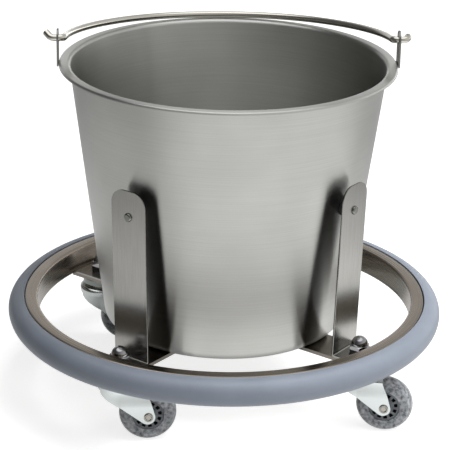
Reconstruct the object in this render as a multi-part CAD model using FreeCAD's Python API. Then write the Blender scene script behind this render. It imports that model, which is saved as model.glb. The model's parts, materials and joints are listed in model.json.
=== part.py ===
import FreeCAD, Part
import math
import os

# Surgical kick bucket: a flanged pail with a bail handle, standing in a low
# carriage of crossed flat bars, four upright straps, a bumper ring and four
# swivel casters. Millimetres, Z up. The origin is on the floor under the
# centre, and the crossbars lie on the diagonals of X and Y.

V = FreeCAD.Vector
CENTRE = V(0, 0, 0)
UP = V(0, 0, 1)

# Shared clearances
WELD_GAP = 0.1               # between welded, bonded or pressed pieces
SEAT_GAP = 0.3               # between loose pieces that rest on each other
RUN_FIT = 0.05               # radial, pin in a turning bore
BOLT_FIT = 0.2               # radial, bolt in a plain hole

# Pail
BASE_R = 113.9               # wall's outer line at the underside
MOUTH_R = 146.35             # wall's outer line under the rim
PAIL_HEIGHT = 251.3
PAIL_SHEET = 1.2
BASE_CORNER_R = 10.0
RIM_CORNER_R = 3.0           # inside the mouth
RIM_REACH = 9.4              # from the wall's line to the rim's outer edge
RIM_EDGE_R = 2.0
RIM_DROP = 2.4               # depth of the turned-down edge

# Ears, at the two ends of the bail's axis
BAIL_AZIMUTH = -5.55         # degrees, of the axis from +X
EAR_WIDTH = 17.5
EAR_THICK = 1.6
EAR_BELOW_RIM = 4.0
EAR_CORNER_R = 1.5
PIVOT_ABOVE_RIM = 21.0

# Bail
WIRE_R = 3.175
WIRE_END_R = 1.2
BAIL_SETBACK = 2.15          # crown's centre line inside the rim's edge
BAIL_CROWN_EASE = 13.6       # crown's radius below the reach
BAIL_SIDE_EASE = 36.0        # side's radius above the crown's
BAIL_SHOULDER_R = 4.5
HOOK_START = 2.4             # straight run outside the ear
HOOK_R = 5.5
HOOK_TURN_LEFT = 55.0
HOOK_TURN_RIGHT = 88.0
HOOK_TILT_LEFT = 40.0        # from the bail's plane
HOOK_TILT_RIGHT = 18.0
HOOK_TAIL_LEFT = 5.5
HOOK_TAIL_RIGHT = 1.5

# Crossbars
DECK_Z = 69.5                # floor to the bars' underside
BAR_WIDTH = 38.1
BAR_THICK = 3.2

# Uprights
STRAP_WIDTH = 38.1
STRAP_THICK = 1.6
STRAP_TOP = 164.3            # above the bars
STRAP_CORNER_R = 13.5
STRAP_BEND_R = 1.6
FOOT_GAP = 24.1              # pail wall to strap at the bars
PAD_LENGTH = 10.1            # strap to pail wall at the screw
FOOT_END_GAP = 5.0           # foot to ring

# Upright screws and the pads they hold
SCREW_ABOVE_BARS = 139.7
SCREW_R = 2.0
SCREW_HEAD_R = 4.1
SCREW_HEAD_HEIGHT = 2.0
SCREW_HEAD_EDGE_R = 1.6
SCREW_IN_PAD = 6.0
PAD_R = 8.0

# Ring and bumper
STEM_SETOUT = 16.4           # strap's outer face to the caster's stem
RING_SETOUT = 22.7           # stem to the ring's inner face
RING_DEPTH = 12.8
RING_HEIGHT = 25.4
RING_EDGE_R = 2.5
BUMPER_DEPTH = 15.1
BUMPER_OVERLAP = 0.25        # bumper above and below the ring

# Swivel casters
TRAILS = {"fl": -2.65, "fr": -15.65, "br": 62.0, "bl": -8.0}
AZIMUTHS = {"fl": -135.0, "fr": -45.0, "br": 45.0, "bl": 135.0}
SWIVEL_OFFSET = 25.5         # stem to axle
STEM_R = 4.76
KINGPIN_R = 4.0
KINGPIN_HEAD_R = 6.5
KINGPIN_HEAD_HEIGHT = 2.5
CUP_R = 18.0
CUP_HEIGHT = 6.0
CUP_EDGE_R = 1.5
CUP_SHEET = 2.5
RACE_WIDTH = 6.0
RACE_SHOW = 3.0              # gap between cup and crown

# Fork
CROWN_R = 21.5
CROWN_EDGE_R = 4.0
CROWN_DRUM = 4.5             # dome above the fork's flat top
CROWN_FRONT = 23.5           # stem to the front of the flat top
FORK_SHEET = 2.2
FORK_FLARE = 20.0            # depth over which the sides draw in
FLARE_STEPS = 6
LEG_GAP = 11.5               # half the width between the legs
HEEL_R = 22.0
EDGE_ANGLE = 37.0
TIP_R = 7.0
TIP_SETBACK = 0.8

# Wheel
WHEEL_R = 26.2
TREAD_HALF = 9.2
SHOULDER_R = 22.0
CORE_R = 14.5
CORE_HALF = 8.2
KEY_HEIGHT = 3.0             # rib that locks the tread on its core
KEY_HALF = 2.0
BOSS_R = 7.5
BOSS_HALF = 10.2
BUSH_R = 5.0
AXLE_R = 3.0
AXLE_HEAD_R = 4.3
AXLE_HEAD_HEIGHT = 1.3
AXLE_DISH = 0.7              # depth of the hollow in each head
AXLE_DISH_R = 3.0
WINDOWS = 12
WINDOW_SIZE = 2.9
WINDOW_RADIUS = 10.8
WINDOW_DEPTH = 4.0

# Cap nuts and washers on the stems
WASHER_R = 9.5
WASHER_THICK = 1.4
NUT_FLATS = 17.0
NUT_HEX = 8.2
NUT_DOME_R = 7.8
NUT_HEIGHT = 16.0
NUT_ROOF = 3.0               # above the stem's end

# Derived places
BAR_TOP = DECK_Z + BAR_THICK
FOOT_TOP = BAR_TOP + STRAP_THICK
RIM_Z = BAR_TOP + PAIL_HEIGHT
RIM_R = MOUTH_R + RIM_REACH
BAIL_REACH = RIM_R - BAIL_SETBACK
BAIL_CROWN_R = BAIL_REACH - BAIL_CROWN_EASE
BAIL_SIDE_R = BAIL_CROWN_R + BAIL_SIDE_EASE
PIVOT_Z = RIM_Z + PIVOT_ABOVE_RIM
SCREW_Z = BAR_TOP + SCREW_ABOVE_BARS
WALL_SLOPE = (MOUTH_R - BASE_R) / (PAIL_HEIGHT - PAIL_SHEET)
STRAP_IN_R = BASE_R + FOOT_GAP
STRAP_SLOPE = WALL_SLOPE + (PAD_LENGTH + SEAT_GAP - FOOT_GAP) / SCREW_ABOVE_BARS
LEAN = math.degrees(math.atan(STRAP_SLOPE))
STEM_RADIUS = STRAP_IN_R + STRAP_THICK + STEM_SETOUT
RING_IN_R = STEM_RADIUS + RING_SETOUT
RING_OUT_R = RING_IN_R + RING_DEPTH
EAR_IN = RIM_R + WELD_GAP
EAR_OUT = EAR_IN + EAR_THICK
CUP_Z = DECK_Z - CUP_HEIGHT
CROWN_Z = CUP_Z - RACE_SHOW
FORK_Z = CROWN_Z - CROWN_DRUM
LEG_OUT = LEG_GAP + FORK_SHEET
NUT_Z = FOOT_TOP + WASHER_THICK


def path_edges(points, radii):
    """Straight runs through points, with a tangent arc at each inner corner."""
    edges = []
    start = points[0]
    for before, corner, after, radius in zip(points, points[1:], points[2:], radii):
        back = (before - corner).normalize()
        ahead = (after - corner).normalize()
        half = back.getAngle(ahead) / 2
        tangent = radius / math.tan(half)
        sagitta = radius / math.sin(half) - radius
        first = corner + back * tangent
        middle = corner + (back + ahead).normalize() * sagitta
        last = corner + ahead * tangent
        edges.append(Part.LineSegment(start, first).toShape())
        edges.append(Part.Arc(first, middle, last).toShape())
        start = last
    edges.append(Part.LineSegment(start, points[-1]).toShape())
    return edges


def round_loop(points, radius):
    """Closed face through points, every corner rounded."""
    seam = (points[-1] + points[0]) * 0.5
    edges = path_edges([seam] + points + [seam], [radius] * len(points))
    return Part.Face(Part.Wire(edges))


def left_of(start, end):
    """Unit vector to the left of a run in the XZ plane."""
    run = (end - start).normalize()
    return V(-run.z, 0, run.x)


def sheet_section(points, radii, thickness):
    """Face of bent sheet in the XZ plane, thickness to the left of the path."""
    sides = [left_of(a, b) for a, b in zip(points, points[1:])]
    moved = [points[0] + sides[0] * thickness]
    moved_radii = []
    for corner, one, two, radius in zip(points[1:], sides, sides[1:], radii):
        mitre = (one + two) * (thickness / (1 + one.dot(two)))
        turn = one.x * two.z - one.z * two.x
        moved.append(corner + mitre)
        moved_radii.append(radius - math.copysign(thickness, turn * thickness))
    moved.append(points[-1] + sides[-1] * thickness)
    near = path_edges(points, radii)
    far = path_edges(moved[::-1], moved_radii[::-1])
    end_cap = Part.LineSegment(points[-1], moved[-1]).toShape()
    start_cap = Part.LineSegment(moved[0], points[0]).toShape()
    return Part.Face(Part.Wire(near + [end_cap] + far + [start_cap]))


def revolved(face):
    """Full turn of a face about Z."""
    return face.revolve(CENTRE, UP, 360)


def polygon(*pairs):
    """Face in the XZ plane from (x, z) pairs."""
    points = [V(x, 0, z) for x, z in pairs]
    return Part.Face(Part.makePolygon(points + points[:1]))


def cylinder(radius, low, high):
    """Upright cylinder between two heights."""
    return Part.makeCylinder(radius, high - low, V(0, 0, low))


def turned(shape, degrees, offset=CENTRE):
    """Copy of shape, turned about Z and then moved."""
    copy = shape.copy()
    copy.rotate(CENTRE, UP, degrees)
    copy.translate(offset)
    return copy


def around(shape):
    """One copy of a shape on +X at each of the four uprights."""
    return Part.makeCompound([turned(shape, a) for a in AZIMUTHS.values()])


def wall_radius(z):
    """Pail wall's outer radius at height z."""
    return BASE_R + (z - BAR_TOP) * WALL_SLOPE


def strap_radius(z):
    """Radius of a strap's inner face at height z."""
    return STRAP_IN_R + (z - BAR_TOP) * STRAP_SLOPE


def pail():
    """Drawn shell with rounded bottom, out-turned rim and turned-down edge."""
    under_rim = RIM_Z - PAIL_SHEET
    edge = RIM_R - PAIL_SHEET
    points = [V(0, 0, BAR_TOP), V(BASE_R, 0, BAR_TOP), V(MOUTH_R, 0, under_rim),
              V(edge, 0, under_rim), V(edge, 0, RIM_Z - RIM_DROP)]
    radii = [BASE_CORNER_R, RIM_CORNER_R - PAIL_SHEET, RIM_EDGE_R - PAIL_SHEET]
    return revolved(sheet_section(points, radii, PAIL_SHEET))


def ear(side):
    """Tab on the rim's edge, round over the bail's hole; side is 1 or -1."""
    half = EAR_WIDTH / 2
    low = RIM_Z - EAR_BELOW_RIM
    points = [V(0, -half, low), V(0, half, low), V(0, half, PIVOT_Z), V(0, -half, PIVOT_Z)]
    blade = round_loop(points, EAR_CORNER_R).extrude(V(EAR_THICK, 0, 0))
    top = Part.makeCylinder(half, EAR_THICK, V(0, 0, PIVOT_Z), V(1, 0, 0))
    hole = Part.makeCylinder(WIRE_R + SEAT_GAP, EAR_THICK, V(0, 0, PIVOT_Z), V(1, 0, 0))
    middle = Part.makeBox(EAR_THICK, EAR_WIDTH, half, V(0, -half, PIVOT_Z - half))
    tab = blade.fuse([middle, top]).removeSplitter().cut(hole)
    tab.translate(V(EAR_IN, 0, 0))
    return turned(tab, BAIL_AZIMUTH + (0 if side > 0 else 180))


def lower_meeting(first, first_r, second, second_r):
    """Lower crossing of two circles in the XY plane."""
    run = second - first
    along = (first_r**2 - second_r**2 + run.Length**2) / (2 * run.Length)
    across = math.sqrt(first_r**2 - along**2)
    run.normalize()
    return first + run * along + V(run.y, -run.x, 0) * across


def arc_about(centre, start, end):
    """Shorter arc from start to end about centre."""
    radius = (start - centre).Length
    middle = ((start - centre) + (end - centre)).normalize() * radius
    return Part.Arc(start, centre + middle, end).toShape()


def hook_edges(side, turn, tilt, tail):
    """Straight through the ear, bend and tail of one end of the bail."""
    out = V(side, 0, 0)
    rise = V(0, math.cos(math.radians(tilt)), math.sin(math.radians(tilt)))
    angle = math.radians(turn)
    inside = out * (EAR_IN - SEAT_GAP)
    start = out * (EAR_OUT + HOOK_START)
    centre = start + rise * HOOK_R
    end = centre + out * (HOOK_R * math.sin(angle)) - rise * (HOOK_R * math.cos(angle))
    heading = out * math.cos(angle) + rise * math.sin(angle)
    run = Part.LineSegment(inside, start).toShape()
    bend = arc_about(centre, start, end)
    last = Part.LineSegment(end, end + heading * tail).toShape()
    return [run, bend, last]


def bail_path():
    """Bail's centre line, flat in XY with its pivot axis on X and crown at +Y."""
    crown_centre = V(0, BAIL_REACH - BAIL_CROWN_R, 0)
    shoulder_centre = V(EAR_IN - SEAT_GAP, BAIL_SHOULDER_R, 0)
    side_centre = lower_meeting(crown_centre, BAIL_SIDE_R - BAIL_CROWN_R,
                                shoulder_centre, BAIL_SIDE_R + BAIL_SHOULDER_R)
    crown_end = side_centre + (crown_centre - side_centre).normalize() * BAIL_SIDE_R
    side_end = side_centre + (shoulder_centre - side_centre).normalize() * BAIL_SIDE_R
    inside = V(EAR_IN - SEAT_GAP, 0, 0)
    right = [arc_about(side_centre, crown_end, side_end),
             arc_about(shoulder_centre, side_end, inside)]
    left = [edge.mirror(CENTRE, V(1, 0, 0)) for edge in right]
    crown = Part.Arc(V(-crown_end.x, crown_end.y, 0), V(0, BAIL_REACH, 0), crown_end).toShape()
    right_hook = hook_edges(1, HOOK_TURN_RIGHT, HOOK_TILT_RIGHT, HOOK_TAIL_RIGHT)
    left_hook = hook_edges(-1, HOOK_TURN_LEFT, HOOK_TILT_LEFT, HOOK_TAIL_LEFT)
    edges = left_hook[::-1] + left[::-1] + [crown] + right + right_hook
    return Part.Wire(Part.sortEdges(edges)[0])


def bail():
    """Round wire handle, lying back with its crown on the rim."""
    path = bail_path()
    first = path.OrderedEdges[0]
    start = first.valueAt(first.FirstParameter)
    heading = first.tangentAt(first.FirstParameter)
    section = Part.Wire(Part.makeCircle(WIRE_R, start, heading))
    wire = path.makePipeShell([section], True, False)
    caps = [face for face in wire.Faces if type(face.Surface) is Part.Plane]
    wire = wire.makeFillet(WIRE_END_R, [edge for face in caps for edge in face.Edges])
    drop = PIVOT_ABOVE_RIM - WIRE_R - SEAT_GAP
    wire.rotate(CENTRE, V(1, 0, 0), -math.degrees(math.asin(drop / BAIL_REACH)))
    return turned(wire, BAIL_AZIMUTH, V(0, 0, PIVOT_Z))


def stem_hole(low, high):
    """Bolt hole on +X for a caster's stem."""
    hole = cylinder(STEM_R + BOLT_FIT, low, high)
    hole.translate(V(STEM_RADIUS, 0, 0))
    return hole


def bar_blank(start, ends):
    """Flat bar along X from start to the ring, with a stem hole at each end given."""
    length = RING_IN_R - start
    blank = Part.makeBox(length, BAR_WIDTH, BAR_THICK, V(start, -BAR_WIDTH / 2, DECK_Z))
    blank = blank.common(cylinder(RING_IN_R - WELD_GAP, DECK_Z, BAR_TOP))
    return blank.cut([turned(stem_hole(DECK_Z, BAR_TOP), a) for a in ends])


def upright():
    """Leaning strap with a rounded top, bent out to a foot on the bar."""
    top = BAR_TOP + STRAP_TOP
    foot_end = RING_IN_R - FOOT_END_GAP
    points = [V(foot_end, 0, BAR_TOP), V(STRAP_IN_R, 0, BAR_TOP), V(strap_radius(top), 0, top)]
    section = sheet_section(points, [STRAP_BEND_R + STRAP_THICK], -STRAP_THICK)
    half = STRAP_WIDTH / 2
    section.translate(V(0, -half, 0))
    strap = section.extrude(V(0, STRAP_WIDTH, 0))
    corners = [V(0, -half, BAR_TOP - STRAP_WIDTH), V(0, half, BAR_TOP - STRAP_WIDTH),
               V(0, half, top), V(0, -half, top)]
    outline = round_loop(corners, STRAP_CORNER_R).extrude(V(foot_end, 0, 0))
    screw = screw_cylinder(SCREW_R + BOLT_FIT, -2 * STRAP_THICK, 2 * STRAP_THICK)
    return strap.common(outline).cut([screw, stem_hole(BAR_TOP, FOOT_TOP)])


def screw_place(along):
    """Point on the screw's axis, measured outwards from the strap's inner face."""
    tilt = math.radians(LEAN)
    face = V(strap_radius(SCREW_Z), 0, SCREW_Z)
    return face + V(math.cos(tilt), 0, -math.sin(tilt)) * along


def screw_cylinder(radius, start, end):
    """Cylinder on the screw's axis between two distances from the inner face."""
    low = screw_place(start)
    return Part.makeCylinder(radius, end - start, low, screw_place(end) - low)


def screw():
    """Round-head screw through the strap into its pad."""
    shank = screw_cylinder(SCREW_R, -SCREW_IN_PAD, STRAP_THICK)
    head = screw_cylinder(SCREW_HEAD_R, STRAP_THICK, STRAP_THICK + SCREW_HEAD_HEIGHT)
    outer = screw_place(STRAP_THICK + SCREW_HEAD_HEIGHT)
    rim = [edge for edge in head.Edges if edge.CenterOfMass.isEqual(outer, WELD_GAP)]
    return shank.fuse(head.makeFillet(SCREW_HEAD_EDGE_R, rim))


def pad():
    """Rubber pad between the strap and the pail's wall."""
    block = screw_cylinder(PAD_R, -PAD_LENGTH - PAD_R, 0)
    hole = screw_cylinder(SCREW_R + WELD_GAP, -SCREW_IN_PAD - WELD_GAP, 0)
    low = SCREW_Z - 2 * PAD_R
    high = SCREW_Z + 2 * PAD_R
    wall = Part.makeCone(wall_radius(low) + SEAT_GAP, wall_radius(high) + SEAT_GAP,
                         high - low, V(0, 0, low))
    return block.cut([wall, hole])


def frame_ring():
    """Rectangular section rolled to a ring."""
    high = DECK_Z + RING_HEIGHT
    points = [V(RING_IN_R, 0, DECK_Z), V(RING_OUT_R, 0, DECK_Z),
              V(RING_OUT_R, 0, high), V(RING_IN_R, 0, high)]
    return revolved(round_loop(points, RING_EDGE_R))


def bumper():
    """D-section strip stretched round the ring."""
    inner = RING_OUT_R + WELD_GAP
    low = DECK_Z - BUMPER_OVERLAP
    high = DECK_Z + RING_HEIGHT + BUMPER_OVERLAP
    half = (high - low) / 2
    nose = inner + BUMPER_DEPTH
    corners = [V(nose - half, 0, low), V(inner, 0, low), V(inner, 0, high), V(nose - half, 0, high)]
    back = [Part.LineSegment(a, b).toShape() for a, b in zip(corners, corners[1:])]
    front = Part.Arc(corners[3], V(nose, 0, low + half), corners[0]).toShape()
    return revolved(Part.Face(Part.Wire(back + [front])))


def caster_stem():
    """Raceway cup with the threaded stem above it and the kingpin below."""
    cavity = CUP_Z + CUP_SHEET
    points = [V(CUP_R, 0, CUP_Z), V(CUP_R, 0, DECK_Z), V(0, 0, DECK_Z), V(0, 0, CUP_Z)]
    cup = revolved(Part.Face(Part.makePolygon(points + points[:1])))
    top_edge = [edge for edge in cup.Edges if edge.CenterOfMass.isEqual(V(0, 0, DECK_Z), WELD_GAP)]
    cup = cup.makeFillet(CUP_EDGE_R, top_edge)
    hollow = cylinder(CUP_R - CUP_SHEET, CUP_Z, cavity)
    head_top = CROWN_Z - FORK_SHEET - SEAT_GAP
    stem_top = NUT_Z + NUT_HEIGHT - NUT_ROOF
    stem = cylinder(STEM_R, DECK_Z, stem_top)
    kingpin = cylinder(KINGPIN_R, head_top, cavity)
    head = cylinder(KINGPIN_HEAD_R, head_top - KINGPIN_HEAD_HEIGHT, head_top)
    return cup.cut(hollow).fuse([stem, kingpin, head]).removeSplitter()


def ball_race():
    """Ring of the swivel bearing, on the fork's crown and inside the cup."""
    outer = CUP_R - CUP_SHEET - SEAT_GAP
    top = CUP_Z + CUP_SHEET - SEAT_GAP
    return cylinder(outer, CROWN_Z, top).cut(cylinder(outer - RACE_WIDTH, CROWN_Z, top))


def fork_plan(z, half, front):
    """Plan of the fork at height z: round behind the stem, straight ahead of it."""
    rear = Part.Arc(V(0, half, z), V(-CROWN_R, 0, z), V(0, -half, z)).toShape()
    corners = [V(0, -half, z), V(front, -half, z), V(front, half, z), V(0, half, z)]
    sides = [Part.LineSegment(a, b).toShape() for a, b in zip(corners, corners[1:])]
    return Part.Wire([rear] + sides)


def fork_block(top, inset):
    """Solid from the fork's shoulder down, drawn in by an S-curve to its flat legs."""
    front = SWIVEL_OFFSET + TIP_R
    flat = LEG_OUT - inset
    swell = CROWN_R - LEG_OUT
    plans = []
    for i in range(FLARE_STEPS + 1):
        share = i / FLARE_STEPS
        ease = (1 + math.cos(math.pi * share)) / 2
        plans.append(fork_plan(top - FORK_FLARE * share, flat + swell * ease, front))
    flare = Part.makeLoft(plans, True, False)
    legs = Part.Face(plans[-1]).extrude(V(0, 0, FORK_FLARE - top))
    return flare.fuse(legs)


def fork_outline():
    """Side outline of the fork: round heel, sloping rear edge, round tip, front edge."""
    slope = math.radians(EDGE_ANGLE)
    normal = V(-math.sin(slope), 0, -math.cos(slope))
    tip = V(SWIVEL_OFFSET - TIP_SETBACK, 0, WHEEL_R)
    heel_x = HEEL_R - CROWN_R
    heel_z = tip.z + (TIP_R - HEEL_R - (heel_x - tip.x) * normal.x) / normal.z
    heel = V(heel_x, 0, heel_z)
    back = V(-CROWN_R, 0, heel_z)
    low = heel + normal * HEEL_R
    tip_low = tip + normal * TIP_R
    brow = V(CROWN_FRONT, 0, FORK_Z)
    to_brow = brow - tip
    swing = math.acos(TIP_R / to_brow.Length)
    lift = math.atan2(to_brow.z, to_brow.x) - swing
    tip_front = tip + V(math.cos(lift), 0, math.sin(lift)) * TIP_R
    edges = [arc_about(heel, back, low),
             Part.LineSegment(low, tip_low).toShape(),
             arc_about(tip, tip_low, tip_front),
             Part.LineSegment(tip_front, brow).toShape()]
    high = heel_z + CROWN_DRUM
    roof = [brow, V(CROWN_FRONT, 0, high), V(-CROWN_R, 0, high), back]
    edges += [Part.LineSegment(a, b).toShape() for a, b in zip(roof, roof[1:])]
    outline = Part.Face(Part.Wire(edges))
    outline.translate(V(0, -2 * CROWN_R, 0))
    return outline.extrude(V(0, 4 * CROWN_R, 0))


def crown():
    """Domed round top of the fork, open below."""
    sheet = FORK_SHEET
    low = FORK_Z - sheet
    bore = KINGPIN_R + RUN_FIT
    points = [V(bore, 0, CROWN_Z), V(CROWN_R, 0, CROWN_Z), V(CROWN_R, 0, low)]
    return revolved(sheet_section(points, [CROWN_EDGE_R], -sheet))


def fork():
    """Pressed fork: domed crown, flat top, sides that draw in to tapered legs."""
    under = FORK_Z - FORK_SHEET
    front = SWIVEL_OFFSET + TIP_R
    slot = Part.makeBox(front + 2 * CROWN_R, 2 * LEG_GAP, under, V(-CROWN_R, -LEG_GAP, 0))
    cavity = cylinder(CROWN_R - FORK_SHEET, under, FORK_Z)
    axle_hole = Part.makeCylinder(AXLE_R + WELD_GAP, 4 * LEG_OUT,
                                  V(SWIVEL_OFFSET, -2 * LEG_OUT, WHEEL_R), V(0, 1, 0))
    legs = fork_block(FORK_Z, 0).cut([fork_block(under, FORK_SHEET), slot, cavity, axle_hole])
    return legs.fuse(crown()).common(fork_outline())


def to_wheel(shape):
    """Shape made about Z, laid on the axle of a caster that trails to +X."""
    shape.rotate(CENTRE, V(1, 0, 0), 90)
    shape.translate(V(SWIVEL_OFFSET, 0, WHEEL_R))
    return shape


def axle():
    """Rivet through both legs, with a dished head at each end."""
    half = LEG_OUT + AXLE_HEAD_HEIGHT
    edge = AXLE_HEAD_HEIGHT / 2
    hollow = half - AXLE_DISH
    head = polygon((0, LEG_OUT), (AXLE_HEAD_R, LEG_OUT), (AXLE_HEAD_R, LEG_OUT + edge),
                   (AXLE_HEAD_R - edge, half), (AXLE_DISH_R, half),
                   (AXLE_DISH_R - AXLE_DISH, hollow), (0, hollow))
    one = revolved(head)
    two = one.mirror(CENTRE, UP)
    return to_wheel(cylinder(AXLE_R, -LEG_OUT, LEG_OUT).fuse([one, two]).removeSplitter())


def tread():
    """Crowned tyre with a groove for the core's rib."""
    inner = CORE_R + WELD_GAP
    groove = inner + KEY_HEIGHT
    key = KEY_HALF + WELD_GAP
    corners = [(SHOULDER_R, TREAD_HALF), (inner, TREAD_HALF), (inner, key), (groove, key),
               (groove, -key), (inner, -key), (inner, -TREAD_HALF), (SHOULDER_R, -TREAD_HALF)]
    points = [V(x, 0, z) for x, z in corners]
    edges = [Part.LineSegment(a, b).toShape() for a, b in zip(points, points[1:])]
    edges.append(Part.Arc(points[-1], V(WHEEL_R, 0, 0), points[0]).toShape())
    return to_wheel(revolved(Part.Face(Part.Wire(edges))))


def wheel_core():
    """Hub with a rib for the tread and a circle of square windows on each face."""
    bore = BUSH_R + WELD_GAP
    core = revolved(polygon((bore, -BOSS_HALF), (BOSS_R, -BOSS_HALF), (BOSS_R, -CORE_HALF),
                            (CORE_R, -CORE_HALF), (CORE_R, -KEY_HALF),
                            (CORE_R + KEY_HEIGHT, -KEY_HALF), (CORE_R + KEY_HEIGHT, KEY_HALF),
                            (CORE_R, KEY_HALF), (CORE_R, CORE_HALF), (BOSS_R, CORE_HALF),
                            (BOSS_R, BOSS_HALF), (bore, BOSS_HALF)))
    half = WINDOW_SIZE / 2
    windows = []
    for low in (-CORE_HALF, CORE_HALF - WINDOW_DEPTH):
        window = Part.makeBox(WINDOW_SIZE, WINDOW_SIZE, WINDOW_DEPTH, V(WINDOW_RADIUS - half, -half, low))
        windows += [turned(window, 360.0 * i / WINDOWS) for i in range(WINDOWS)]
    return to_wheel(core.cut(windows))


def bush():
    """Sleeve in the core that turns on the axle."""
    half = LEG_GAP - SEAT_GAP
    return to_wheel(cylinder(BUSH_R, -half, half).cut(cylinder(AXLE_R + RUN_FIT, -half, half)))


def washer():
    """Plain washer on a stem at +X."""
    disc = cylinder(WASHER_R, FOOT_TOP, NUT_Z).cut(cylinder(STEM_R + BOLT_FIT, FOOT_TOP, NUT_Z))
    disc.translate(V(STEM_RADIUS, 0, 0))
    return disc


def cap_nut():
    """Hexagon cap nut with a domed top, on a stem at +X."""
    across = NUT_FLATS / math.sqrt(3)
    corners = [V(across, 0, NUT_Z)]
    for i in range(1, 7):
        angle = math.radians(60 * i)
        corners.append(V(across * math.cos(angle), across * math.sin(angle), NUT_Z))
    hexagon = Part.Face(Part.makePolygon(corners)).extrude(V(0, 0, NUT_HEX))
    chamfer = Part.makeCone(NUT_FLATS / 2 + NUT_HEX, NUT_FLATS / 2, NUT_HEX, V(0, 0, NUT_Z))
    base = NUT_Z + NUT_HEIGHT - NUT_DOME_R
    crest = Part.makeSphere(NUT_DOME_R, V(0, 0, base), UP, 0, 90)
    dome = cylinder(NUT_DOME_R, NUT_Z, base).fuse(crest)
    thread = cylinder(STEM_R + WELD_GAP, NUT_Z, NUT_Z + NUT_HEIGHT - NUT_ROOF + WELD_GAP)
    nut = hexagon.common(chamfer).fuse(dome).removeSplitter().cut(thread)
    nut.translate(V(STEM_RADIUS, 0, 0))
    return nut


def caster_nodes():
    """Every piece of the four casters, by node name."""
    pieces = {"caster_stem": caster_stem(), "ball_race": ball_race(), "fork": fork(),
              "axle": axle(), "bush": bush(), "wheel_core": wheel_core(), "tread": tread()}
    nodes = {}
    for corner, azimuth in AZIMUTHS.items():
        angle = math.radians(azimuth)
        place = V(STEM_RADIUS * math.cos(angle), STEM_RADIUS * math.sin(angle), 0)
        for name, shape in pieces.items():
            nodes[name + "_" + corner] = turned(shape, TRAILS[corner], place)
    return nodes


def carriage_nodes():
    """Bars, uprights, ring and fastenings, by node name."""
    half_bar = bar_blank(BAR_WIDTH / 2, [0])
    nodes = {"frame_ring": frame_ring(), "bumper": bumper()}
    nodes["crossbar_long"] = turned(bar_blank(-RING_IN_R, [0, 180]), AZIMUTHS["br"])
    nodes["crossbar_left"] = turned(half_bar, AZIMUTHS["bl"])
    nodes["crossbar_right"] = turned(half_bar, AZIMUTHS["fr"])
    strap = upright()
    for corner, azimuth in AZIMUTHS.items():
        nodes["upright_" + corner] = turned(strap, azimuth)
    nodes["upright_screws"] = around(screw())
    nodes["upright_pads"] = around(pad())
    nodes["stem_washers"] = around(washer())
    nodes["cap_nuts"] = around(cap_nut())
    return nodes


def pail_nodes():
    """Pail, ears and bail, by node name."""
    return {"bucket_shell": pail(), "ear_left": ear(-1), "ear_right": ear(1), "bail_handle": bail()}


os.makedirs("parts", exist_ok=True)
all_nodes = {**carriage_nodes(), **pail_nodes(), **caster_nodes()}
for node_name, node_shape in all_nodes.items():
    node_shape.exportStep(os.path.join("parts", node_name + ".step"))
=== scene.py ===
"""Surgical kick bucket: finishes, detailed pieces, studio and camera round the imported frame."""

import json
import logging
import math
from dataclasses import dataclass, field
from enum import Enum
from typing import Any, Callable

import bpy
from mathutils import Matrix, Vector

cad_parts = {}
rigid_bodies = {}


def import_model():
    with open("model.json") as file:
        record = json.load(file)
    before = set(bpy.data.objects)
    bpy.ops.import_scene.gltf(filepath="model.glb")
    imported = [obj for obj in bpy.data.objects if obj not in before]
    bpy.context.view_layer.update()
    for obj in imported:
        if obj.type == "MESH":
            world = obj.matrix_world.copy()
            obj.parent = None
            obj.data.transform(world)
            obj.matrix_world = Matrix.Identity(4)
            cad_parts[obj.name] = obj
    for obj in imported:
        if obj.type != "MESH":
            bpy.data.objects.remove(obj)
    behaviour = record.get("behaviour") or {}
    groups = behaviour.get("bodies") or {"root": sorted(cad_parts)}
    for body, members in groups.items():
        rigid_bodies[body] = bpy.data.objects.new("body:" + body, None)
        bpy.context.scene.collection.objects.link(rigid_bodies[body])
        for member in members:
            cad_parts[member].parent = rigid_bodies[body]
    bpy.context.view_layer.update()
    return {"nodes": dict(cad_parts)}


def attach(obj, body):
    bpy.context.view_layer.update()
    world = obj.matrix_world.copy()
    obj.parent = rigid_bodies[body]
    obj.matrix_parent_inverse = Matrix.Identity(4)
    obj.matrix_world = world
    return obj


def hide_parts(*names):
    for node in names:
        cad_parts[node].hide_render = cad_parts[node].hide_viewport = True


LOG = logging.getLogger("kick_bucket")
MM = 0.001
FULL_TURN = 2 * math.pi
SHARP = math.radians(38)    # an edge that turns further stays creased
QUARTER = 0.25              # quarter turn, as the shader counts turns
DIAGONAL = math.sqrt(0.5)
UP = Vector((0, 0, 1))
WHITE = (1, 1, 1, 1)
CORNERS = ("fl", "fr", "br", "bl")
SAME = 1e-6                 # metres within which two points are one
SEED = 0.01                 # metres across the plane that a drawn chain starts from
FLUSH = 0.01                # millimetres within which a face lies in a plane
WELD_GAP = 0.1              # millimetres between bonded or pressed pieces
SEAT_GAP = 0.3              # millimetres between pieces that rest on each other
NOISE_LOW = 0.3             # most of a noise texture lies between these two
NOISE_HIGH = 0.7


# ---- outlines

def arc(centre: Vector, start: Vector, end: Vector, step: float) -> list[Vector]:
    """Points on the shorter arc from start to end, both included.

    Args:
        centre: centre of the arc.
        start: first point.
        end: last point.
        step: degrees of arc between two points.

    Returns:
        Points evenly spaced on the arc.
    """
    first = start - centre
    last = end - centre
    turn = first.angle(last)
    count = max(2, round(math.degrees(turn) / step))
    points = []
    for i in range(count + 1):
        a = math.sin((1 - i / count) * turn) / math.sin(turn)
        b = math.sin(i / count * turn) / math.sin(turn)
        points.append(centre + first * a + last * b)
    return points


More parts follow.
